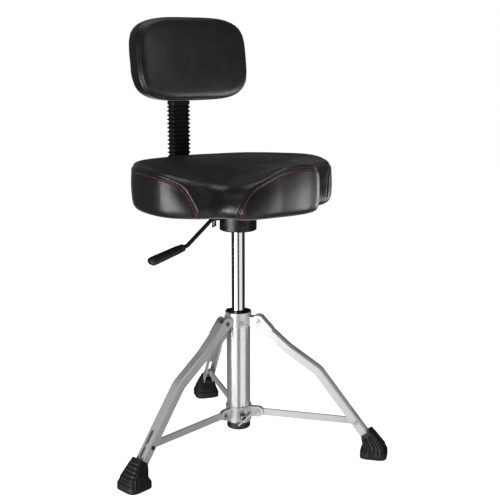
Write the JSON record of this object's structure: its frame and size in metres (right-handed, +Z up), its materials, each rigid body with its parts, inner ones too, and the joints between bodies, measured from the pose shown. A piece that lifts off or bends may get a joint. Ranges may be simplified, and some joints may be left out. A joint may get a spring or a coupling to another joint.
{
  "type": "drum throne",
  "caption": "Drum throne with a saddle-shaped padded seat and backrest, a gas-lift column with a side lever, and a folding tripod base.",
  "frame": {"origin": "the point on the floor under the column's axis", "axes": "+Z up along the column; the seat faces -Y, with its backrest towards +Y; +X to the sitter's left"},
  "size_m": [0.5459, 0.5557, 0.903],
  "materials": {
    "tube_steel": "smooth silver coating",
    "collar_steel": "smooth silver coating",
    "leg_steel": "satin silver coating",
    "strut_steel": "satin silver coating",
    "bright_fasteners": "bright zinc plating",
    "chrome": "polished chrome",
    "spring_steel": "ground steel",
    "black_plastic": "fine moulded texture",
    "black_rubber": "matt moulded rubber",
    "black_steel": "satin black powder coat",
    "plywood": "dark stained plywood",
    "black_board": "fine-textured black",
    "black_leatherette": "grained leatherette, dark red stitching"
  },
  "bodies": {
    "base": {"outer_tube": "tube_steel", "tube_end_cap": "black_plastic", "guide_bush": "black_plastic", "tube_base_disc": "tube_steel", "thrust_bearing": "tube_steel", "upper_plate_front": "collar_steel", "upper_plate_left": "collar_steel", "upper_plate_right": "collar_steel", "collar_screws": "bright_fasteners", "leg_pivot_rivets": "bright_fasteners", "leg_pivot_spacers": "bright_fasteners"},
    "spring_rod": {"piston_rod": "spring_steel", "piston": "spring_steel", "rod_clip": "bright_fasteners"},
    "lift": {"gas_column": "chrome", "column_gland": "spring_steel", "column_socket": "black_steel", "seat_plate": "black_steel", "seat_board": "plywood", "seat_cushion": "black_leatherette", "plate_bolts": "bright_fasteners", "tee_nuts": "bright_fasteners", "backrest_clamp": "black_steel", "lever_pin": "bright_fasteners", "socket_bolt": "black_steel"},
    "lever": {"lever_rod": "black_steel", "lever_grip": "black_plastic"},
    "button": {"release_button": "spring_steel"},
    "arm_screw": {"backrest_wing_screw": "bright_fasteners"},
    "backrest_arm": {"backrest_bar": "black_steel", "bellows": "black_rubber"},
    "backrest": {"backrest_pad": "black_leatherette", "backrest_board": "black_board", "pad_bracket": "black_steel", "pad_screws": "bright_fasteners"},
    "back_knob": {"pad_knob": "black_plastic"},
    "collar": {"lower_plate_front": "collar_steel", "lower_plate_left": "collar_steel", "lower_plate_right": "collar_steel", "strut_pivot_rivets": "bright_fasteners", "collar_nut": "bright_fasteners"},
    "collar_screw": {"collar_wing_screw": "bright_fasteners"},
    "front_leg_body": {"front_leg": "leg_steel", "front_foot": "black_rubber", "front_strut_rivets": "bright_fasteners"},
    "front_strut_body": {"front_strut": "strut_steel"},
    "rear_leg_body": {"rear_leg": "leg_steel", "rear_foot": "black_rubber", "rear_strut_rivets": "bright_fasteners"},
    "rear_strut_body": {"rear_strut": "strut_steel"},
    "side_leg_body": {"side_leg": "leg_steel", "side_foot": "black_rubber", "side_strut_rivets": "bright_fasteners"},
    "side_strut_body": {"side_strut": "strut_steel"}
  },
  "joints": [
    {"name": "seat_swivel", "type": "hinge", "parent": "base", "child": "spring_rod", "pos_m": [0, 0, 0.07], "axis": [0, 0, 1], "continuous": true},
    {"name": "seat_height", "type": "slide", "parent": "spring_rod", "child": "lift", "axis": [0, 0, 1], "range_m": [-0.145, 0]},
    {"name": "lever_pull", "type": "hinge", "parent": "lift", "child": "lever", "pos_m": [-0.026, 0, 0.496], "axis": [0, 1, 0], "range_deg": [0, 5]},
    {"name": "button_press", "type": "slide", "parent": "lift", "child": "button", "axis": [0, 0, 1], "range_m": [-0.003, 0]},
    {"name": "backrest_depth", "type": "slide", "parent": "lift", "child": "backrest_arm", "axis": [0, 1, 0], "range_m": [-0.01, 0.03]},
    {"name": "arm_screw_turn", "type": "hinge", "parent": "lift", "child": "arm_screw", "pos_m": [0, 0.0975, 0.47], "axis": [0, 0, 1], "range_deg": [0, 360]},
    {"name": "backrest_height", "type": "slide", "parent": "backrest_arm", "child": "backrest", "axis": [0, 0, 1], "range_m": [-0.03, 0], "deforming": ["bellows"]},
    {"name": "back_knob_turn", "type": "hinge", "parent": "backrest", "child": "back_knob", "pos_m": [0, 0.26, 0.795], "axis": [0, 1, 0], "range_deg": [0, 360]},
    {"name": "front_leg_fold", "type": "hinge", "parent": "base", "child": "front_leg_body", "pos_m": [0.02967, -0.03181, 0.2765], "axis": [0.7314, 0.682, 0], "range_deg": [0, 40]},
    {"name": "rear_leg_fold", "type": "hinge", "parent": "base", "child": "rear_leg_body", "pos_m": [0.01272, 0.0416, 0.2765], "axis": [-0.9563, 0.2924, 0], "range_deg": [0, 40]},
    {"name": "side_leg_fold", "type": "hinge", "parent": "base", "child": "side_leg_body", "pos_m": [-0.04238, -0.00979, 0.2765], "axis": [0.225, -0.9744, 0], "range_deg": [0, 40]},
    {"name": "collar_slide", "type": "slide", "parent": "base", "child": "collar", "axis": [0, 0, 1], "range_m": [0, 0.118]},
    {"name": "collar_screw_turn", "type": "hinge", "parent": "collar", "child": "collar_screw", "pos_m": [-0.01316, -0.04303, 0.07], "axis": [-0.2924, -0.9563, 0], "range_deg": [0, 360]},
    {"name": "front_strut_fold", "type": "hinge", "parent": "collar", "child": "front_strut_body", "pos_m": [0.03001, -0.03218, 0.075], "axis": [0.7314, 0.682, 0], "range_deg": [0, 82]},
    {"name": "rear_strut_fold", "type": "hinge", "parent": "collar", "child": "rear_strut_body", "pos_m": [0.01286, 0.04208, 0.075], "axis": [-0.9563, 0.2924, 0], "range_deg": [0, 82]},
    {"name": "side_strut_fold", "type": "hinge", "parent": "collar", "child": "side_strut_body", "pos_m": [-0.04287, -0.0099, 0.075], "axis": [0.225, -0.9744, 0], "range_deg": [0, 82]}
  ],
  "couplings": [
    {"joint": "rear_leg_fold", "follows": "front_leg_fold", "ratio": 1},
    {"joint": "side_leg_fold", "follows": "front_leg_fold", "ratio": 1},
    {"joint": "collar_slide", "follows": "front_leg_fold", "m_per_rad": 0.16874},
    {"joint": "front_strut_fold", "follows": "front_leg_fold", "ratio": 2.036},
    {"joint": "rear_strut_fold", "follows": "front_leg_fold", "ratio": 2.036},
    {"joint": "side_strut_fold", "follows": "front_leg_fold", "ratio": 2.036},
    {"joint": "button_press", "follows": "lever_pull", "m_per_rad": -0.0284}
  ]
}
